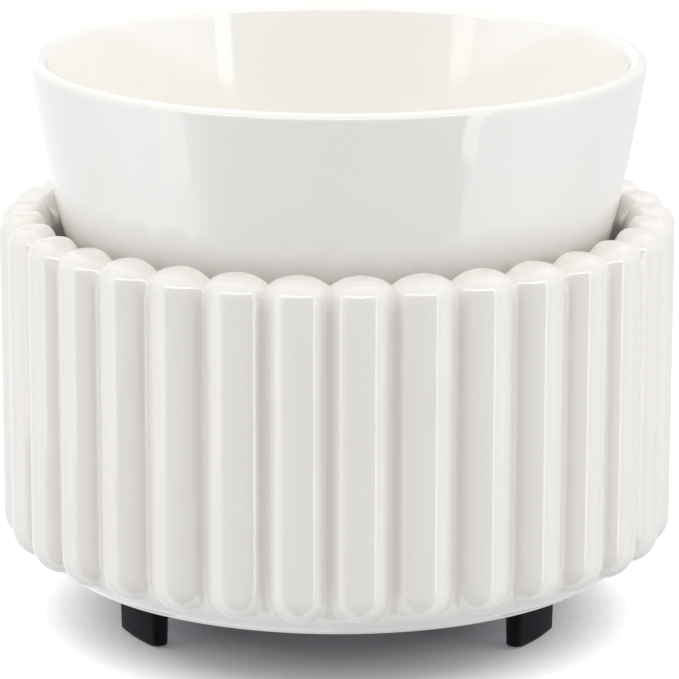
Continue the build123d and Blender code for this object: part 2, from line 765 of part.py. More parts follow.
# Cord gland: a rubber bush in the outer wall of the cord well
with BuildPart() as cord_gland:
    with BuildSketch(gland_plane):
        Circle(gland_flange_radius)
    extrude(amount=gland_flange)
    with BuildSketch(gland_plane.offset(gland_flange)):
        Circle(gland_neck_radius)
    extrude(amount=gland_nose)
    with BuildSketch(gland_plane):
        Circle(gland_neck_radius)
    extrude(amount=-cord_well_wall)
    with BuildSketch(gland_plane.offset(-cord_well_wall)):
        Circle(gland_flange_radius)
    extrude(amount=-gland_flange)
    with BuildSketch(gland_plane.offset(gland_flange + gland_nose)):
        Circle(gland_bore_radius)
    extrude(amount=-2 * gland_flange - gland_nose - cord_well_wall, mode=Mode.SUBTRACT)
save(cord_gland, "cord_gland")


def foot_arc(outer_radius, thickness, width):
    """Section of a strip that follows the foot's curved face, centred on its x axis."""
    with BuildSketch() as strip:
        Circle(outer_radius)
        Circle(outer_radius - thickness, mode=Mode.SUBTRACT)
        Rectangle(outer_radius, width, align=(Align.MIN, Align.CENTER), mode=Mode.INTERSECT)
    return strip


def build_foot(angle):
    """Foot under the cover: a curved, tapered wall, and behind it the boss for its screw."""
    foot_plane = Plane(origin=(0, 0, cover_z), x_dir=polar(1, angle), z_dir=(0, 0, -1))
    with BuildPart() as foot:
        with BuildSketch(foot_plane) as section:
            add(foot_arc(foot_outer_radius, foot_thickness, foot_width).sketch)
            fillet(section.vertices(), foot_corner)
        foot_height = cover_z - pad_proud
        extrude(amount=foot_height, taper=foot_taper)
        low_edges = foot.faces().sort_by(Axis.Z)[0].edges()
        low_corner = foot_corner - foot_height * tan(radians(foot_taper))
        fillet(low_edges, low_corner * foot_edge_share)
        with BuildSketch(foot_plane):
            with Locations((post_ring_radius, 0)):
                Circle(foot_boss_radius)
                Rectangle(foot_reach - foot_thickness / 2, 2 * foot_boss_radius,
                          align=(Align.MIN, Align.CENTER))
        extrude(amount=cover_z - screw_seat_height + screw_head_height + foot_boss_lip)
        hole_plane = Plane.XY.offset(pad_proud)
        with BuildSketch(hole_plane):
            with Locations(polar(post_ring_radius, angle)):
                Circle(screw_radius + hole_gap)
        extrude(amount=cover_z, mode=Mode.SUBTRACT)
        with BuildSketch(hole_plane):
            with Locations(polar(post_ring_radius, angle)):
                Circle(screw_head_radius + screw_head_gap)
        extrude(amount=screw_seat_height - pad_proud, mode=Mode.SUBTRACT)
        with BuildSketch(Plane(origin=(0, 0, pad_proud), x_dir=polar(1, angle))):
            add(foot_arc(pad_outer_radius + pad_gap, pad_width + 2 * pad_gap,
                         pad_length + 2 * pad_gap).sketch)
        extrude(amount=pad_recess, mode=Mode.SUBTRACT)
    return foot


foot_names = ["foot_front_left", "foot_front_right", "foot_rear"]
for foot_name, foot_angle in zip(foot_names, post_angles):
    save(build_foot(foot_angle), foot_name)

# Rubber pads in the feet, and the long screws that hold feet and cover to the posts
with BuildPart() as foot_pads:
    for foot_angle in post_angles:
        with BuildSketch(Plane(origin=(0, 0, 0), x_dir=polar(1, foot_angle))):
            add(foot_arc(pad_outer_radius, pad_width, pad_length).sketch)
        extrude(amount=pad_proud + pad_recess)
save(foot_pads, "foot_pads")

with BuildPart() as cover_screws:
    with BuildSketch(Plane.XY.offset(screw_seat_height)):
        with spots(post_ring_radius, post_angles):
            Circle(screw_head_radius)
    extrude(amount=-screw_head_height)
    with BuildSketch(Plane.XY.offset(screw_seat_height)):
        with spots(post_ring_radius, post_angles):
            Circle(screw_radius)
    extrude(amount=boss_z + screw_reach - screw_seat_height)
    with BuildSketch(Plane.XY.offset(screw_seat_height - screw_head_height)):
        with spots(post_ring_radius, post_angles):
            RegularPolygon(screw_slot_radius, 6)
    extrude(amount=screw_slot_depth, mode=Mode.SUBTRACT)
save(cover_screws, "cover_screws")

# Terminal block: moulded body with two ports across it, brass inserts and their screws
port_places = [(neutral_port_y, port_z), (live_port_y, port_z)]
screw_places = [(0, neutral_port_y), (0, live_port_y)]
with BuildPart() as terminal_block:
    with BuildSketch(Plane.XY.offset(cover_top_z)):
        with Locations((0, block_y)):
            Rectangle(block_depth, block_width)
    extrude(amount=block_height)
    chamfer(terminal_block.edges().group_by(Axis.Z)[-1], block_edge)
    with BuildSketch(Plane.YZ.offset(-block_depth / 2)):
        with Locations(*port_places):
            Circle(port_radius)
    extrude(amount=block_depth, mode=Mode.SUBTRACT)
    with BuildSketch(Plane.XY.offset(block_top_z)):
        with Locations(*screw_places):
            Circle(terminal_well_radius)
    extrude(amount=port_z - block_top_z, mode=Mode.SUBTRACT)
    with BuildSketch(Plane.XY.offset(cover_top_z)):
        with Locations((0, block_y)):
            Circle(socket_radius)
    extrude(amount=block_boss_height + block_boss_gap, mode=Mode.SUBTRACT)
    with BuildSketch(Plane.XY.offset(cover_top_z)):
        with Locations((0, block_y)):
            Circle(block_screw_radius + hole_gap)
    extrude(amount=block_height, mode=Mode.SUBTRACT)
    with BuildSketch(Plane.XY.offset(block_top_z)):
        with Locations((0, block_y)):
            Circle(block_screw_head_radius + hole_gap)
    extrude(amount=-block_screw_recess, mode=Mode.SUBTRACT)
save(terminal_block, "terminal_block")

with BuildPart() as terminal_inserts:
    with BuildSketch(Plane.YZ.offset(-block_depth / 2)):
        with Locations(*port_places):
            Circle(port_radius - insert_gap)
            Circle(insert_bore_radius, mode=Mode.SUBTRACT)
    extrude(amount=block_depth)
    with BuildSketch(Plane.XY.offset(port_z)):
        with Locations(*screw_places):
            Circle(terminal_screw_radius + thread_gap)
    extrude(amount=port_radius, mode=Mode.SUBTRACT)
save(terminal_inserts, "terminal_inserts")

terminal_screw_low_z = port_z + lead_radius + thread_gap
terminal_head_z = port_z + port_radius
with BuildPart() as terminal_screws:
    with BuildSketch(Plane.XY.offset(terminal_screw_low_z)):
        with Locations(*screw_places):
            Circle(terminal_screw_radius)
    extrude(amount=terminal_head_z - terminal_screw_low_z)
    with BuildSketch(Plane.XY.offset(terminal_head_z)):
        with Locations(*screw_places):
            Circle(terminal_screw_head_radius)
    extrude(amount=terminal_screw_head_height)
save(terminal_screws, "terminal_screws")

block_seat_z = block_top_z - block_screw_recess
block_screw_length = block_seat_z - cover_top_z - block_boss_height + block_screw_reach
with BuildPart() as block_screw:
    with BuildSketch(Plane.XY.offset(block_seat_z)):
        with Locations((0, block_y)):
            Circle(block_screw_head_radius)
    extrude(amount=block_screw_head_height)
    with BuildSketch(Plane.XY.offset(block_seat_z)):
        with Locations((0, block_y)):
            Circle(block_screw_radius)
    extrude(amount=-block_screw_length)
save(block_screw, "block_screw")


def build_lead(points):
    """Round insulated wire along straight runs joined by equal bends."""
    with BuildPart() as lead:
        with BuildLine() as route:
            FilletPolyline(*points, radius=lead_bend)
        with BuildSketch(Plane(origin=route.line @ 0, z_dir=route.line % 0)):
            Circle(lead_radius)
        sweep()
    return lead


port_x = block_depth / 2
fuse_wire_end = fuse_length / 2 + fuse_wire_length
live_lead = build_lead([
    (port_x - lead_entry, live_port_y, port_z),
    (live_side, live_port_y, port_z),
    (live_side, fuse_y, port_z),
    (live_side, fuse_y, fuse_z),
    (fuse_wire_end, fuse_y, fuse_z),
])
save(live_lead, "live_lead")

fuse_lead = build_lead([
    (-fuse_wire_end, fuse_y, fuse_z),
    (outer_tab[0], fuse_y, fuse_z),
    (outer_tab[0], fuse_y, track_z),
])
save(fuse_lead, "fuse_lead")

link_lead = build_lead([
    (inner_tab[0], inner_tab[1], track_z),
    (inner_tab[0], inner_tab[1], blade_lead_z),
    (0, -connector_face_y - link_straight, blade_lead_z),
    (0, -connector_face_y, blade_lead_z),
])
save(link_lead, "link_lead")

neutral_lead = build_lead([
    (0, connector_face_y, blade_lead_z),
    (0, neutral_port_y, blade_lead_z),
    (neutral_side, neutral_port_y, blade_lead_z),
    (neutral_side, neutral_port_y, port_z),
    (port_x - lead_entry, neutral_port_y, port_z),
])
save(neutral_lead, "neutral_lead")
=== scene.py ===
import bpy
import math
import numpy as np
from mathutils import Matrix, Vector


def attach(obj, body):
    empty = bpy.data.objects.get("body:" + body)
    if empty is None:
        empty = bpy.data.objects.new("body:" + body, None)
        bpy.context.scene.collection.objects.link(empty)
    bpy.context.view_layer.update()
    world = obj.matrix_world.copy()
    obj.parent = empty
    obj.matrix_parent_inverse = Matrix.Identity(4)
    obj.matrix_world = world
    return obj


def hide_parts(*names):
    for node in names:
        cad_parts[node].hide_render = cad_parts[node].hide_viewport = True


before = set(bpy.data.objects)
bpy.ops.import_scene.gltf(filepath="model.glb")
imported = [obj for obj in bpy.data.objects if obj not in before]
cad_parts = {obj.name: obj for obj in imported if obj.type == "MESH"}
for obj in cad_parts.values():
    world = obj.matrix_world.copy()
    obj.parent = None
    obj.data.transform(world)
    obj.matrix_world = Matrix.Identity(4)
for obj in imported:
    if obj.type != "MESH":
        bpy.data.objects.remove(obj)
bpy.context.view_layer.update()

MM = 0.001
rad = math.radians

# Camera: the height, tilt and roll that the outline and the rib tops give, with a long lens
cam_distance = 0.8498
cam_elevation = 0.25065
cam_roll = 0.002
focal_pixels = 4384.0
photo_pixels = 679.0
sensor_width = 36.0
look_at = Vector((0.0004, 0.0, 0.053977))
eye = Vector((0.0, -cam_distance * math.cos(cam_elevation),
              look_at.z + cam_distance * math.sin(cam_elevation)))
forward = (look_at - eye).normalized()
right = forward.cross(Vector((0, 0, 1))).normalized()
up = right.cross(forward)
right_rolled = right * math.cos(cam_roll) + up * math.sin(cam_roll)
up_rolled = up * math.cos(cam_roll) - right * math.sin(cam_roll)
cam_data = bpy.data.cameras.new("photo_camera")
cam_data.sensor_width = sensor_width
cam_data.lens = focal_pixels / photo_pixels * sensor_width
cam_data.clip_start = 0.01
cam_data.clip_end = 20.0
cam = bpy.data.objects.new("photo_camera", cam_data)
bpy.context.scene.collection.objects.link(cam)
cam.matrix_world = Matrix((
    (right_rolled.x, up_rolled.x, -forward.x, eye.x),
    (right_rolled.y, up_rolled.y, -forward.y, eye.y),
    (right_rolled.z, up_rolled.z, -forward.z, eye.z),
    (0, 0, 0, 1)))
bpy.context.scene.camera = cam
bpy.context.scene.view_settings.view_transform = "Standard"


# Node helpers
def add_node(tree, kind, inputs=None, **attributes):
    """Node with its attributes set, and its inputs linked or given a value."""
    made = tree.nodes.new(kind)
    for key, value in attributes.items():
        setattr(made, key, value)
    for key, value in (inputs or {}).items():
        if isinstance(value, bpy.types.NodeSocket):
            tree.links.new(value, made.inputs[key])
        else:
            made.inputs[key].default_value = value
    return made


class Mat:
    """A material with a Principled shader and short calls for adding nodes."""

    def __init__(self, name, **values):
        self.mat = bpy.data.materials.new(name)
        self.mat.use_nodes = True
        self.tree = self.mat.node_tree
        self.bsdf = next(n for n in self.tree.nodes if n.type == "BSDF_PRINCIPLED")
        for key, value in values.items():
            self.set(key.replace("_", " "), value)

    def set(self, socket, value):
        self.bsdf.inputs[socket].default_value = value

    def node(self, kind, inputs=None, **attributes):
        return add_node(self.tree, kind, inputs, **attributes)

    def link(self, output, socket):
        self.tree.links.new(output, self.bsdf.inputs[socket])

    def coords(self, scale=(1, 1, 1)):
        place = self.node("ShaderNodeTexCoord").outputs["Object"]
        if scale == (1, 1, 1):
            return place
        return self.node("ShaderNodeMapping", {"Vector": place, "Scale": scale}).outputs[0]

    def noise(self, scale, detail=3.0, rough=0.5, vector=None, distortion=0.0):
        vector = vector or self.coords()
        return self.node("ShaderNodeTexNoise", {
            "Vector": vector, "Scale": scale, "Detail": detail, "Roughness": rough,
            "Distortion": distortion}).outputs["Fac"]

    def span(self, fac, low, high, start=0.0, end=1.0):
        return self.node("ShaderNodeMapRange", {
            "Value": fac, "From Min": start, "From Max": end,
            "To Min": low, "To Max": high}).outputs[0]

    def mix(self, fac, a, b):
        made = self.node("ShaderNodeMix", {"Factor": fac}, data_type="RGBA")
        for key, value in ((6, a), (7, b)):
            if isinstance(value, bpy.types.NodeSocket):
                self.tree.links.new(value, made.inputs[key])
            else:
                made.inputs[key].default_value = (*value, 1)
        return made.outputs[2]

    def bump(self, height, distance, strength=1.0, normal=None):
        inputs = {"Height": height, "Distance": distance, "Strength": strength}
        if normal:
            inputs["Normal"] = normal
        return self.node("ShaderNodeBump", inputs).outputs["Normal"]


def glaze(name, colour, warm, lit_inside_colour=None, valley_shade_colour=None):
    """White gloss glaze over porcelain: faint cloudiness, orange peel and a few pinholes."""
    m = Mat(name, Roughness=0.1, IOR=1.5)
    cloud = m.noise(28.0, 3.0)
    base = m.mix(m.span(cloud, 0.0, 1.0, 0.3, 0.7), colour, warm)
    # Painted light: the dish's inside gets a lighter colour that stands in for light bounced
    # inside it
    if lit_inside_colour:
        inside_light = m.node("ShaderNodeAttribute", attribute_name="inside_light").outputs["Fac"]
        base = m.mix(inside_light, base, lit_inside_colour)
    # Painted shade: the shell's valleys get a darker colour
    if valley_shade_colour:
        valley_shade = m.node("ShaderNodeAttribute", attribute_name="valley_shade").outputs["Fac"]
        base = m.mix(valley_shade, base, valley_shade_colour)
    specks = m.node("ShaderNodeTexVoronoi", {"Vector": m.coords(), "Scale": 95.0})
    speck = m.span(specks.outputs["Distance"], 1.0, 0.0, 0.012, 0.03)
    base = m.mix(m.node("ShaderNodeMath", {0: speck, 1: 0.12}, operation="MULTIPLY").outputs[0],
                 base, (0.5, 0.45, 0.38))
    m.link(base, "Base Color")
    m.link(m.span(m.noise(60.0, 4.0), 0.045, 0.09, 0.3, 0.7), "Roughness")
    peel = m.bump(m.noise(240.0, 2.0), 0.00002, 0.3)
    m.link(m.bump(m.noise(38.0, 1.0), 0.0001, 0.35, peel), "Normal")
    return m.mat


def bisque():
    """Bare fired clay on the rings that stand in the kiln and inside the shell."""
    m = Mat("bare_clay", IOR=1.45)
    grain = m.noise(900.0, 4.0)
    m.link(m.mix(m.span(m.noise(45.0, 4.0), 0.0, 1.0, 0.35, 0.65),
                 (0.72, 0.68, 0.60), (0.62, 0.57, 0.49)), "Base Color")
    m.link(m.span(grain, 0.75, 0.95, 0.3, 0.7), "Roughness")
    m.link(m.bump(grain, 0.0001, 0.5), "Normal")
    return m.mat


def moulded(name, dark, light, rough, grain=1500.0, depth=0.00003, sheen=None):
    """Moulded plastic or rubber with a fine spark texture and slight wear."""
    m = Mat(name, IOR=1.5)
    fine = m.noise(grain, 3.0, 0.6)
    m.link(m.mix(m.span(m.noise(120.0, 5.0), 0.0, 1.0, 0.35, 0.7), dark, light), "Base Color")
    m.link(m.span(fine, rough - 0.06, rough + 0.08, 0.3, 0.7), "Roughness")
    m.link(m.bump(fine, depth, 0.6), "Normal")
    if sheen is not None:
        m.set("Specular IOR Level", sheen)
    return m.mat


def metal(name, colour, rough, scale=(1, 1, 1), streak=900.0, depth=0.00001, round_lines=False):
    """Bare or plated metal with fine lines from rolling or turning."""
    m = Mat(name, Metallic=1.0)
    if round_lines:
        split = m.node("ShaderNodeSeparateXYZ", {"Vector": m.coords()})
        flat = m.node("ShaderNodeCombineXYZ", {"X": split.outputs[0], "Y": split.outputs[1]})
        reach = m.node("ShaderNodeVectorMath", {0: flat.outputs[0]}, operation="LENGTH")
        vector = m.node("ShaderNodeCombineXYZ", {"X": reach.outputs["Value"]}).outputs[0]
    else:
        vector = m.coords(scale)
    lines = m.noise(streak, 3.0, 0.6, vector)
    shade = tuple(c * 0.82 for c in colour)
    m.link(m.mix(m.span(lines, 0.0, 1.0, 0.3, 0.7), shade, colour), "Base Color")
    m.link(m.span(m.noise(70.0, 4.0), rough - 0.05, rough + 0.1, 0.3, 0.7), "Roughness")
    m.link(m.bump(lines, depth, 0.5), "Normal")
    return m.mat


def braided(name, light, dark):
    """Glass-fibre sleeve: two crossing sets of fine strands."""
    m = Mat(name, Roughness=0.7)
    first = m.node("ShaderNodeTexWave", {"Vector": m.coords(), "Scale": 260.0,
                                         "Distortion": 0.3}, bands_direction="DIAGONAL")
    second = m.node("ShaderNodeTexWave", {"Vector": m.coords((-1, 1, 1)), "Scale": 260.0,
                                          "Distortion": 0.3}, bands_direction="DIAGONAL")
    cross = m.node("ShaderNodeMath", {0: first.outputs["Fac"], 1: second.outputs["Fac"]},
                   operation="MAXIMUM").outputs[0]
    m.link(m.mix(cross, dark, light), "Base Color")
    m.link(m.bump(cross, 0.0001, 0.6), "Normal")
    return m.mat


def fibrous(name, light, dark, streak=(1, 1, 6)):
    """Ceramic fibre or pressed mica: matted flakes or strands."""
    m = Mat(name)
    strands = m.noise(420.0, 6.0, 0.7, m.coords(streak), 1.5)
    m.link(m.mix(m.span(strands, 0.0, 1.0, 0.35, 0.65), dark, light), "Base Color")
    m.link(m.span(strands, 0.7, 0.95, 0.3, 0.7), "Roughness")
    m.link(m.bump(strands, 0.0002, 0.6), "Normal")
    return m.mat


# The shell's darker valley colour is painted shade
shell_white = glaze("shell_glaze", (0.87, 0.85, 0.81), (0.855, 0.833, 0.787),
                    valley_shade_colour=(0.74, 0.715, 0.67))
# The dish's lighter inside colour is painted light
dish_white = glaze("dish_glaze", (0.885, 0.872, 0.842), (0.87, 0.855, 0.82),
                   lit_inside_colour=(0.925, 0.91, 0.875))
clay = bisque()
steel = metal("zinc_steel", (0.60, 0.61, 0.63), 0.32, (1, 1, 8))
bright = metal("sheet_steel", (0.66, 0.67, 0.69), 0.28, (8, 1, 1))
shield_metal = metal("aluminised_sheet", (0.62, 0.63, 0.65), 0.38, (1, 6, 1), 500.0)
aluminium = metal("pressed_aluminium", (0.72, 0.73, 0.74), 0.3, streak=1400.0,
                  depth=0.00003, round_lines=True)
brass = metal("brass", (0.78, 0.60, 0.32), 0.26, (1, 1, 8))
foil = metal("etched_foil", (0.5, 0.48, 0.46), 0.35, streak=1800.0, round_lines=True)
foot_black = moulded("foot_plastic", (0.0085, 0.009, 0.0105), (0.013, 0.0135, 0.0155), 0.5,
                     sheen=0.03)
base_black = moulded("base_plastic", (0.018, 0.0185, 0.02), (0.026, 0.0265, 0.029), 0.5, 1100.0,
                     0.00005)
pad_rubber = moulded("pad_rubber", (0.03, 0.03, 0.032), (0.05, 0.05, 0.054), 0.8, 900.0, 0.00006)
gland_rubber = moulded("gland_rubber", (0.016, 0.016, 0.018), (0.028, 0.028, 0.031), 0.65, 900.0)
silicone = moulded("silicone_seal", (0.60, 0.60, 0.58), (0.68, 0.68, 0.65), 0.55, 800.0)
lead_skin = moulded("lead_silicone", (0.72, 0.70, 0.66), (0.80, 0.78, 0.74), 0.45, 700.0)
nylon = moulded("nylon", (0.74, 0.72, 0.66), (0.80, 0.78, 0.72), 0.4, 800.0)
terminal = moulded("terminal_plastic", (0.76, 0.73, 0.64), (0.82, 0.79, 0.70), 0.38, 900.0)
phenolic = moulded("dark_phenolic", (0.045, 0.03, 0.022), (0.075, 0.05, 0.036), 0.45, 700.0)
mica = fibrous("pressed_mica", (0.50, 0.42, 0.31), (0.36, 0.29, 0.21), (1, 1, 1))
fibre = fibrous("ceramic_fibre", (0.82, 0.81, 0.77), (0.62, 0.60, 0.55))
sleeve = braided("glass_sleeve", (0.80, 0.78, 0.70), (0.50, 0.47, 0.40))

finishes = {
    "hot_plate": aluminium, "thermostat_cap": aluminium, "plate_gasket": silicone,
    "base_gasket": silicone, "mica_upper": mica, "mica_lower": mica, "insulation_pad": fibre,
    "heating_element": foil, "clamp_plate": bright, "fuse_clip": bright, "clamp_studs": steel,
    "clamp_washers": steel, "clamp_nuts": steel, "tie_studs": steel, "upper_posts": steel,
    "lower_posts": steel, "cover_screws": steel, "terminal_screws": steel, "block_screw": steel,
    "thermostat_body": phenolic, "thermostat_blades": brass, "spade_connectors": brass,
    "terminal_inserts": brass, "thermal_fuse": brass, "fuse_sleeve": sleeve,
    "heat_shield": shield_metal, "shield_bushes": nylon, "bottom_cover": base_black,
    "cord_gland": gland_rubber, "foot_front_left": foot_black, "foot_front_right": foot_black,
    "foot_rear": foot_black, "foot_pads": pad_rubber, "terminal_block": terminal,
    "live_lead": lead_skin, "fuse_lead": lead_skin, "link_lead": lead_skin,
    "neutral_lead": lead_skin,
}
for node_name, finish in finishes.items():
    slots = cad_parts[node_name].data.materials
    if not slots:
        slots.append(finish)
    for index in range(len(slots)):
        slots[index] = finish


# Meshes
def build_mesh(name, points, faces, materials, face_materials, body, node):
    """Smooth-shaded mesh from points in millimetres, riding on a body in a CAD node's place."""
    mesh = bpy.data.meshes.new(name)
    mesh.from_pydata((np.asarray(points) * MM).tolist(), [], faces)
    for finish in materials:
        mesh.materials.append(finish)
    mesh.polygons.foreach_set("use_smooth", [True] * len(mesh.polygons))
    mesh.polygons.foreach_set("material_index", face_materials)
    mesh.update()
    piece = bpy.data.objects.new(name, mesh)
    bpy.context.scene.collection.objects.link(piece)
    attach(piece, body)
    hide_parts(node)
    return piece


def grid_faces(rows, columns):
    """Quads of a grid that closes round and also joins its last row to its first."""
    faces = []
    for i in range(rows):
        a, b = i * columns, ((i + 1) % rows) * columns
        for j in range(columns):
            k = (j + 1) % columns
            faces.append((a + j, a + k, b + k, b + j))
    return faces


# Shell: sizes of the ceramic, in millimetres
bore = 54.9
valley = 62.2                 # radius between the ribs
rib_count = 33
rib_first = rad(-85.9)
rib_ring = 59.0
rib = 6.0
rib_low_z = 21.7              # below it a rib ends in a quarter of a ball
rib_round = 3.6               # over the top of a rib
rib_top_z = 80.6 - rib_round
rib_inner = 55.8              # how far in a rib reaches at its top
rib_fullness = 0.72           # under 1, the arch over a rib is fuller than an ellipse
rib_least = 0.25              # half the width of the arch's crown
lip_z = 74.6
lip_centre = 58.55
lip = 3.65
band_z = 23.532
band_centre = 50.127
band = 12.073
band_end_r, band_end_z = 54.8, 12.4
ledge_r, ledge_z = 50.0, 44.0
cavity_r, cavity_top, cavity_low = 55.5, 36.0, 25.0
opening_r, opening_z = 49.0, 17.0
rebate_r, rebate_z = 52.3, 14.3
edge_r, edge_z = 54.2, 11.8
seam = 0.4                    # fillet between neighbouring ribs
top_seam = 2.1                # and over the lip
band_seam = 0.45              # and where the ribs end on the band
top_seam_from = rad(70)
ray_reach = 18.0
halvings = 44
rib_inner_squeeze = rib / (rib_ring - rib_inner)
band_end = math.atan2(band_end_z - band_z, band_end_r - band_centre)


def smooth_min(a, b, k):
    """Lower of two distances, with the corner between them filled by a soft fillet."""
    h = np.clip(0.5 + 0.5 * (b - a) / k, 0.0, 1.0)
    return b + (a - b) * h - k * h * (1.0 - h)


def shell_distance(r, turn, z, k):
    """Distance to the glazed outside: the wall with its lip and band, and the nearest rib."""
    band_d = np.hypot(r - band_centre, np.minimum(z - band_z, 0.0)) - band
    lip_d = np.hypot(r - lip_centre, np.maximum(z - lip_z, 0.0)) - lip
    wall_d = np.where(z < band_z, band_d, lip_d)
    across = r * np.sin(turn)
    along = r * np.cos(turn) - rib_ring
    along = np.where(along < 0, along * rib_inner_squeeze, along)
    drop = np.minimum(z - rib_low_z, 0.0)
    beside = np.sqrt(along**2 + across**2 + drop**2)
    rise = np.clip((z - rib_top_z) / rib_round, 0.0, 1.0)
    arch = np.sqrt(1.0 - rise * rise)
    half_deep = rib - rib_round * (1.0 - arch)
    half_wide = np.maximum(rib * arch ** rib_fullness, rib_least)
    top_d = (np.hypot(along / half_deep, across / half_wide) - 1.0) * half_deep
    top_d = np.maximum(top_d, z - rib_top_z - rib_round)
    rib_d = np.where(z > rib_top_z, top_d, beside - rib)
    return smooth_min(wall_d, rib_d, k)


def shell_surface(turn, origin_r, origin_z, angle, k):
    """Where rays from a point of the section, at an angle in it, leave the ceramic."""
    low = np.zeros_like(turn)
    high = np.full_like(turn, ray_reach)
    c, s = math.cos(angle), math.sin(angle)
    for _ in range(halvings):
        middle = (low + high) / 2
        outside = shell_distance(origin_r + middle * c, turn, origin_z + middle * s, k) > 0
        high = np.where(outside, middle, high)
        low = np.where(outside, low, middle)
    reach = (low + high) / 2
    return origin_r + reach * c, origin_z + reach * s


# Columns of the mesh: the same number on each rib, closer together in the valleys
rib_columns = 30
crowding = 0.045
pitch = 2 * math.pi / rib_count
share = np.arange(rib_columns) / rib_columns - 0.5
share = share - crowding * np.sin(4 * math.pi * share)
turns = np.tile(share * pitch, rib_count)
bearing = np.repeat(rib_first + np.arange(rib_count) * pitch, rib_columns) + turns

rows = []
kinds = []
GLAZED, BARE = 0, 1


def add_row(r, z, kind):
    """Row of points round the shell, at radii and heights that may vary along it."""
    rows.append(np.stack([r * np.cos(bearing), r * np.sin(bearing),
                          np.broadcast_to(z, bearing.shape)], -1))
    kinds.append(kind)


# Rows up the outside, closest together where the ribs end on the band, and over the lip
for angle in np.concatenate([np.linspace(band_end, rad(-44), 6),
                             np.linspace(rad(-42), rad(-28), 22),
                             np.linspace(rad(-26), 0, 14)]):
    add_row(*shell_surface(turns, band_centre, band_z, angle, band_seam), GLAZED)
for level in np.linspace(band_z, lip_z, 16)[1:-1]:
    add_row(*shell_surface(turns, band_centre, level, 0.0, seam), GLAZED)
for angle in np.radians(np.linspace(0, 180, 61)):
    blend = seam + (top_seam - seam) * min(angle / top_seam_from, 1.0)
    add_row(*shell_surface(turns, lip_centre, lip_z, angle, blend), GLAZED)

# Rows down the bore, over the plate's ledge and through the cavity to the ring underneath
glazed_inside = [(bore, 70.0), (bore, 62.0), (bore, 52.0), (bore, ledge_z + 0.4),
                 (bore - 0.4, ledge_z)]
bare_inside = [(ledge_r + 0.3, ledge_z), (ledge_r, ledge_z - 0.3), (ledge_r, ledge_z - 1.8),
               (ledge_r + 0.2, ledge_z - 2.1), (cavity_r - 0.2, cavity_top + 0.3),
               (cavity_r, cavity_top - 0.2), (cavity_r, cavity_low + 5.0),
               (cavity_r, cavity_low + 0.2), (cavity_r - 0.2, cavity_low - 0.2),
               (opening_r + 0.2, opening_z + 0.3), (opening_r, opening_z - 0.1),
               (opening_r, rebate_z + 0.2), (opening_r + 0.2, rebate_z),
               (rebate_r - 0.2, rebate_z), (rebate_r, rebate_z - 0.2),
               (rebate_r, edge_z + 0.2), (rebate_r + 0.15, edge_z), (edge_r, edge_z)]
for (r, z), kind in ([(p, GLAZED) for p in glazed_inside] + [(p, BARE) for p in bare_inside]
                     + [((edge_r + 0.25, edge_z + 0.1), GLAZED)]):
    add_row(np.full_like(bearing, r), np.float64(z), kind)
shell_points = np.concatenate(rows)
shell_kinds = np.repeat(kinds, len(bearing))
shell = build_mesh("glazed_shell", shell_points, grid_faces(len(rows), len(bearing)),
                   [shell_white, clay], shell_kinds, "root", "fluted_shell")

# Painted shade: the glaze colour is a little darker deep in the valleys, and fades to plain
# above and below
valley_shade_depth = 1.3
valley_shade_least_r = 60.5
valley_shade_low_z, valley_shade_low_fade = 19.0, 5.0
valley_shade_top_z, valley_shade_top_fade = 77.0, 3.0
reach = np.hypot(shell_points[:, 0], shell_points[:, 1])
height = shell_points[:, 2]
valley_shade = np.clip((valley + valley_shade_depth - reach) / valley_shade_depth, 0, 1) ** 1.5
valley_shade *= np.clip((height - valley_shade_low_z) / valley_shade_low_fade, 0, 1)
valley_shade *= np.clip((valley_shade_top_z - height) / valley_shade_top_fade, 0, 1)
valley_shade *= reach > valley_shade_least_r
valley_shaded = shell.data.attributes.new("valley_shade", "FLOAT", "POINT")
valley_shaded.data.foreach_set("value", valley_shade.tolist())


# Dish: a turned section, in millimetres
def arc_points(start, direction, radius, turn, count):
    """Points of an arc that curves to the right, and the direction in which it ends."""
    dx, dy = direction
    cx, cy = start[0] + dy * radius, start[1] - dx * radius
    first = math.atan2(start[1] - cy, start[0] - cx)
    points = [(cx + radius * math.cos(first - turn * i / count),
               cy + radius * math.sin(first - turn * i / count)) for i in range(1, count + 1)]
    last = first - turn
    return points, (math.sin(last), -math.cos(last))


def arc_to(start, direction, end, count):
    """Points of the arc that leaves start in a direction and reaches end."""
    nx, ny = direction[1], -direction[0]
    vx, vy = end[0] - start[0], end[1] - start[1]
    radius = (vx * vx + vy * vy) / (2 * (vx * nx + vy * ny))
    cx, cy = start[0] + nx * radius, start[1] + ny * radius
    first = math.atan2(start[1] - cy, start[0] - cx)
    last = math.atan2(end[1] - cy, end[0] - cx)
    return [(cx + abs(radius) * math.cos(first + (last - first) * i / count),
             cy + abs(radius) * math.sin(first + (last - first) * i / count))
            for i in range(1, count + 1)]


rim_z = 110.2
rim_r = 59.1
wall = 3.3
lean = rad(8.6)
curve = 440.0
turn = rad(5.7)
floor_z = 56.0
floor_r = 32.3
floor_dip = 0.1
foot_r, foot_z = 36.0, 50.3
foot_width = 4.0
base_z = 51.5                 # underside inside the foot ring

down = (-math.sin(lean), -math.cos(lean))
outer_arc, tangent = arc_points((rim_r, rim_z), down, curve, turn, 22)
outer_side = [(rim_r, rim_z)] + outer_arc + arc_to(outer_arc[-1], tangent, (foot_r, base_z), 24)
inner_arc, tangent = arc_points((rim_r - wall, rim_z), down, curve - wall, turn, 22)
corner = (inner_arc[-1][1] - floor_z) / (1 - math.sin(lean + turn))
corner_arc, tangent = arc_points(inner_arc[-1], tangent, corner, math.pi / 2 - lean - turn, 24)
inner_side = [(rim_r - wall, rim_z)] + inner_arc + corner_arc

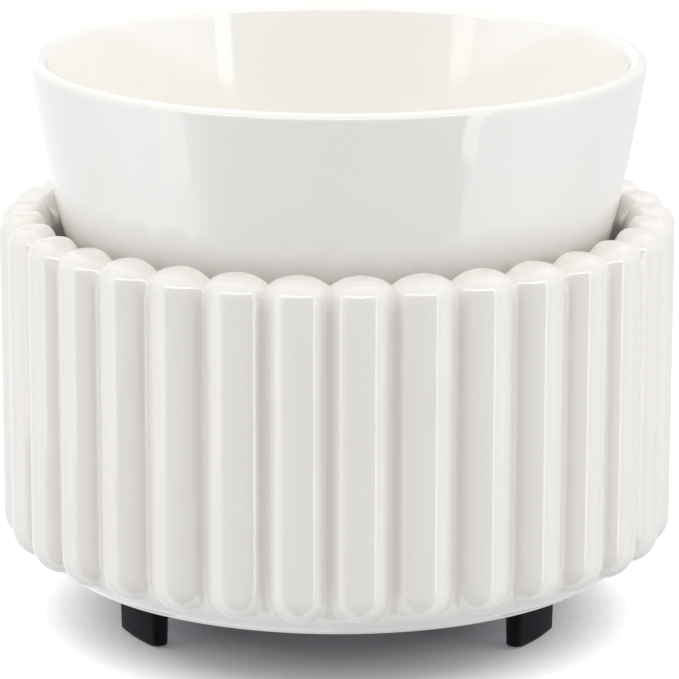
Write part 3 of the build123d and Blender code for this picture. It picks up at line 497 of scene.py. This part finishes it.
# The rim's round: an arc from wall to wall, a little fuller than a half circle
rim_fullness = 0.92
rim_steps = 18
rim_clear = 1.9               # the walls' own points end this far below the rim
half = wall / 2
rim_rise = 0.96 * half
rim_width = 0.995 * half
rim_run = []
for i in range(1, rim_steps):
    a = math.pi * i / rim_steps
    bulge = math.copysign(abs(math.cos(a)) ** rim_fullness, math.cos(a))
    below = rim_rise - rim_rise * math.sin(a) ** rim_fullness
    rim_run.append((rim_r - half + rim_width * bulge - math.tan(lean) * below, rim_z - below))

outer_run = [(r, z) for r, z in outer_side if z < rim_z - rim_clear]
inner_run = [(r, z) for r, z in inner_side if z < rim_z - rim_clear]
floor_run = [(r, floor_z - floor_dip * (1 - (r / floor_r) ** 2))
             for r in (31.0, 29.0, 25.0, 19.0, 12.0, 3.0)]
foot_inner = foot_r - foot_width
foot_run = [(foot_r - 0.4, foot_z), (foot_r - 0.1, foot_z + 0.12), (foot_r, foot_z + 0.4),
            (foot_r, base_z - 0.2)]
under_run = [(3.0, base_z), (16.0, base_z), (28.0, base_z), (foot_inner - 0.4, base_z),
             (foot_inner - 0.1, base_z - 0.15), (foot_inner, base_z - 0.4),
             (foot_inner, foot_z + 0.4), (foot_inner + 0.1, foot_z + 0.12),
             (foot_inner + 0.4, foot_z)]
section = foot_run + outer_run[::-1] + rim_run + inner_run + floor_run

# Rings of points, joined into faces except between the floor and the underside
columns = 288
ring_angles = np.arange(columns) * 2 * math.pi / columns
ring_points = []
for r, z in section + under_run:
    ring_points += [(r * math.cos(a), r * math.sin(a), z) for a in ring_angles]
ring_count = len(section) + len(under_run)
faces = []
face_kinds = []
for i in range(ring_count):
    j = (i + 1) % ring_count
    if i == len(section) - 1:
        continue
    for c in range(columns):
        d = (c + 1) % columns
        faces.append((i * columns + c, i * columns + d, j * columns + d, j * columns + c))
        face_kinds.append(BARE if i == 0 or i >= ring_count - 2 else GLAZED)
top_centre = len(ring_points)
ring_points += [(0.0, 0.0, floor_z - floor_dip), (0.0, 0.0, base_z)]
last_top = (len(section) - 1) * columns
first_under = len(section) * columns
for c in range(columns):
    d = (c + 1) % columns
    faces.append((last_top + c, last_top + d, top_centre))
    faces.append((first_under + d, first_under + c, top_centre + 1))
    face_kinds += [GLAZED, GLAZED]
dish = build_mesh("glazed_dish", ring_points, faces, [dish_white, clay], face_kinds, "dish",
                  "melt_dish")

# Painted light: the inside's lighter colour, standing in for light bounced within the dish,
# starts at the top of the rim and is full a few rings further in
inside_light_fade = 9.0
inside_light_start = len(foot_run) + len(outer_run) + len(rim_run) // 2
ring_inside_light = [min(1.0, max(0.0, (i - inside_light_start) / inside_light_fade)) if i < len(section) else 0.0
               for i in range(ring_count)]
inside_light = dish.data.attributes.new("inside_light", "FLOAT", "POINT")
inside_light.data.foreach_set("value", np.repeat(ring_inside_light, columns).tolist() + [1.0, 0.0])

# Floor: white to the camera, with the warmer's soft shadow
floor_mesh = bpy.data.meshes.new("floor")
far = 6.0
floor_mesh.from_pydata([(-far, -far, 0), (far, -far, 0), (far, far, 0), (-far, far, 0)], [],
                       [(0, 1, 2, 3)])
floor = bpy.data.objects.new("floor", floor_mesh)
bpy.context.scene.collection.objects.link(floor)
fm = Mat("floor_white", Roughness=0.9)
fm.set("Specular IOR Level", 0.0)

# To the camera it is white, and a painted light, a glow seen only by the camera, lifts the
# shadow's outer part to keep it soft and pale
is_camera = fm.node("ShaderNodeLightPath").outputs["Is Camera Ray"]
fm.link(fm.mix(is_camera, (0.73, 0.73, 0.74), (1.0, 1.0, 1.0)), "Base Color")
lift_from, lift_bend, lift_to = 0.028, 0.046, 0.066
lift_inner, lift_outer = 0.085, 0.32
near = fm.node("ShaderNodeVectorMath", {0: fm.coords((1.15, 1, 1))},
               operation="LENGTH").outputs["Value"]
lift = fm.node("ShaderNodeMath", {0: fm.span(near, 0.0, lift_inner, lift_from, lift_bend),
                                  1: fm.span(near, 0.0, lift_outer, lift_bend, lift_to)},
               operation="ADD").outputs[0]
fm.link(fm.node("ShaderNodeMath", {0: lift, 1: is_camera}, operation="MULTIPLY").outputs[0],
        "Emission Strength")
fm.set("Emission Color", (0.97, 0.985, 1.0, 1.0))

# From below it is clear, so that views from there show the warmer
see_through = fm.node("ShaderNodeBsdfTransparent").outputs[0]
underneath = fm.node("ShaderNodeNewGeometry").outputs["Backfacing"]
shown = fm.node("ShaderNodeMixShader", {0: underneath, 1: fm.bsdf.outputs[0], 2: see_through})
floor_out = next(n for n in fm.tree.nodes if n.type == "OUTPUT_MATERIAL")
fm.tree.links.new(shown.outputs[0], floor_out.inputs["Surface"])
floor_mesh.materials.append(fm.mat)
floor.visible_glossy = False

# World: white to the camera, and for the light a pale tent that is greyer towards the front
world = bpy.data.worlds.new("studio")
bpy.context.scene.world = world
world.use_nodes = True
world.node_tree.nodes.clear()


def wnode(kind, inputs=None, **attributes):
    return add_node(world.node_tree, kind, inputs, **attributes)


def wspan(value, start, end, low, high, kind="SMOOTHSTEP"):
    return wnode("ShaderNodeMapRange", {"Value": value, "From Min": start, "From Max": end,
                                        "To Min": low, "To Max": high},
                 interpolation_type=kind).outputs[0]


def wmath(operation, a, b=0.0):
    return wnode("ShaderNodeMath", {0: a, 1: b}, operation=operation).outputs[0]


way = wnode("ShaderNodeTexCoord").outputs["Generated"]
parts = wnode("ShaderNodeSeparateXYZ", {"Vector": way})
x, y, z = parts.outputs[0], parts.outputs[1], parts.outputs[2]
bearing_in = wmath("ARCTAN2", x, wmath("MULTIPLY", y, -1.0))
left_gate = wspan(bearing_in, rad(-78), rad(-50), 0.0, 1.0)
right_gate = wspan(bearing_in, rad(40), rad(60), 1.0, 0.0)
not_high = wspan(z, 0.1, 0.45, 1.0, 0.0)
grey_front = wmath("MULTIPLY", wmath("MULTIPLY", left_gate, right_gate), not_high)
tent_level, grey_level = 0.84, 0.60
tent_diffuse = wspan(grey_front, 0.0, 1.0, tent_level, grey_level, "LINEAR")

# What the glaze mirrors: a grey opening in front with rounded upper corners and a thin
# bright upper edge, a bright tent round it, and less light low down behind
open_left, open_right, open_top, open_corner = -62.0, 53.0, 22.0, 17.0
opening_level, left_level, right_level = 0.5, 1.85, 1.6
line_level, line_width = 5.0, 9.0
behind_drop = 1.2
rise = wmath("ARCSINE", z)
from_middle = wmath("SUBTRACT", bearing_in, rad((open_left + open_right) / 2))
from_side = wmath("SUBTRACT", wmath("ABSOLUTE", from_middle),
                  rad((open_right - open_left) / 2 - open_corner))
from_top = wmath("SUBTRACT", rise, rad(open_top - open_corner))
past_side, past_top = wmath("MAXIMUM", from_side, 0.0), wmath("MAXIMUM", from_top, 0.0)
past_corner = wmath("SQRT", wmath("ADD", wmath("MULTIPLY", past_side, past_side),
                                  wmath("MULTIPLY", past_top, past_top)))
within = wmath("MINIMUM", wmath("MAXIMUM", from_side, from_top), 0.0)
edge = wmath("SUBTRACT", wmath("ADD", past_corner, within), rad(open_corner))
to_left = wspan(bearing_in, rad(-50), rad(-10), 1.0, 0.0)
crisp = wspan(edge, rad(-0.4), rad(1), 0.0, 1.0)
soft = wspan(edge, rad(-16), rad(9), 0.0, 1.0)
tent_edge = wmath("ADD", wmath("MULTIPLY", soft, to_left),
                  wmath("MULTIPLY", crisp, wmath("SUBTRACT", 1.0, to_left)))
to_right = wmath("MULTIPLY", wspan(bearing_in, rad(30), rad(50), 0.0, 1.0),
                 wspan(z, 0.25, 0.5, 1.0, 0.0))
tent_bright = wspan(to_right, 0.0, 1.0, left_level, right_level, "LINEAR")
edge_line = wmath("MULTIPLY", wspan(edge, 0.0, rad(1), 0.0, 1.0),
                  wspan(edge, rad(line_width), rad(line_width + 2), 1.0, 0.0))
edge_line = wmath("MULTIPLY", edge_line, wspan(rise, rad(14), rad(20), 0.0, 1.0))
edge_line = wmath("MULTIPLY", edge_line, wspan(y, -0.3, 0.0, 1.0, 0.0))
tent_glossy = wmath("ADD", opening_level, wmath("MULTIPLY", tent_edge, tent_bright))
tent_glossy = wmath("ADD", tent_glossy, wmath("MULTIPLY", edge_line, line_level))
low_behind = wmath("MULTIPLY", wspan(y, -0.2, 0.5, 0.0, 1.0), wspan(z, 0.55, 0.8, 1.0, 0.0))
tent_glossy = wmath("SUBTRACT", tent_glossy, wmath("MULTIPLY", low_behind, behind_drop))

# Its light is slightly cool from the sides and slightly warm from above
paths = wnode("ShaderNodeLightPath")
from_above = wspan(z, 0.0, 0.7, 0.0, 1.0)
tint = wnode("ShaderNodeMix", {"Factor": from_above, 6: (0.955, 0.985, 1.05, 1),
                               7: (1.01, 1.0, 0.985, 1)}, data_type="RGBA")
strength = wnode("ShaderNodeMix", {0: paths.outputs["Is Glossy Ray"], 2: tent_diffuse,
                                   3: tent_glossy}, data_type="FLOAT").outputs[0]
strength = wnode("ShaderNodeMix", {0: paths.outputs["Is Camera Ray"], 2: strength, 3: 1.0},
                 data_type="FLOAT").outputs[0]
colour = wnode("ShaderNodeMix", {"Factor": paths.outputs["Is Camera Ray"],
                                 6: tint.outputs[2], 7: (1, 1, 1, 1)}, data_type="RGBA")
background = wnode("ShaderNodeBackground", {"Color": colour.outputs[2], "Strength": strength})
wnode("ShaderNodeOutputWorld", {"Surface": background.outputs[0]})


# Studio cards that only reflections see, and soft lamps
def card(name, corners, strength):
    """White glowing quad, with its corners in millimetres."""
    mesh = bpy.data.meshes.new(name)
    mesh.from_pydata([tuple(c * MM for c in p) for p in corners], [], [(0, 1, 2, 3)])
    m = bpy.data.materials.new(name)
    m.use_nodes = True
    m.node_tree.nodes.clear()
    glow = m.node_tree.nodes.new("ShaderNodeEmission")
    glow.inputs["Color"].default_value = (1, 1, 1, 1)
    glow.inputs["Strength"].default_value = strength
    end = m.node_tree.nodes.new("ShaderNodeOutputMaterial")
    m.node_tree.links.new(glow.outputs[0], end.inputs[0])
    mesh.materials.append(m)
    piece = bpy.data.objects.new(name, mesh)
    bpy.context.scene.collection.objects.link(piece)
    piece.visible_camera = False
    piece.visible_diffuse = False
    piece.visible_shadow = False
    piece.visible_transmission = False
    piece.visible_volume_scatter = False


def window(name, bearing, distance, width, low, high, strength):
    """Upright card that faces the axis, at a bearing from the front, in degrees."""
    a = rad(bearing)
    mid = (distance * math.sin(a), -distance * math.cos(a))
    side = (width / 2 * math.cos(a), width / 2 * math.sin(a))
    left_end = (mid[0] - side[0], mid[1] - side[1])
    right_end = (mid[0] + side[0], mid[1] + side[1])
    card(name, [(*left_end, low), (*right_end, low), (*right_end, high), (*left_end, high)],
         strength)


# Two upright windows: thin lines on the ribs, and marks on the dish inside and out
window("window_right", 50.6, 544.0, 70.0, -125.0, 262.0, 4.4)
window("window_right_low", 50.6, 544.0, 64.0, -180.0, -125.0, 4.0)
window("window_left", -58.8, 222.0, 42.0, -4.0, 170.0, 3.0)


def lamp(name, place, aim_z, size, power):
    """Square area lamp that faces the axis at a height and isn't seen in reflections."""
    data = bpy.data.lights.new(name, "AREA")
    data.shape = "SQUARE"
    data.size = size
    data.energy = power
    data.color = (1.0, 0.99, 0.97)
    made = bpy.data.objects.new(name, data)
    bpy.context.scene.collection.objects.link(made)
    made.location = place
    aim = Vector((0, 0, aim_z)) - Vector(place)
    made.rotation_euler = aim.to_track_quat("-Z", "Y").to_euler()
    made.visible_glossy = False


lamp("top_soft", (0.0, 0.0, 1.1), 0.05, 1.2, 2.4)
lamp("left_soft", (-0.9, -0.25, 0.45), 0.07, 0.8, 1.8)
lamp("right_soft", (0.9, -0.2, 0.45), 0.07, 0.8, 1.9)
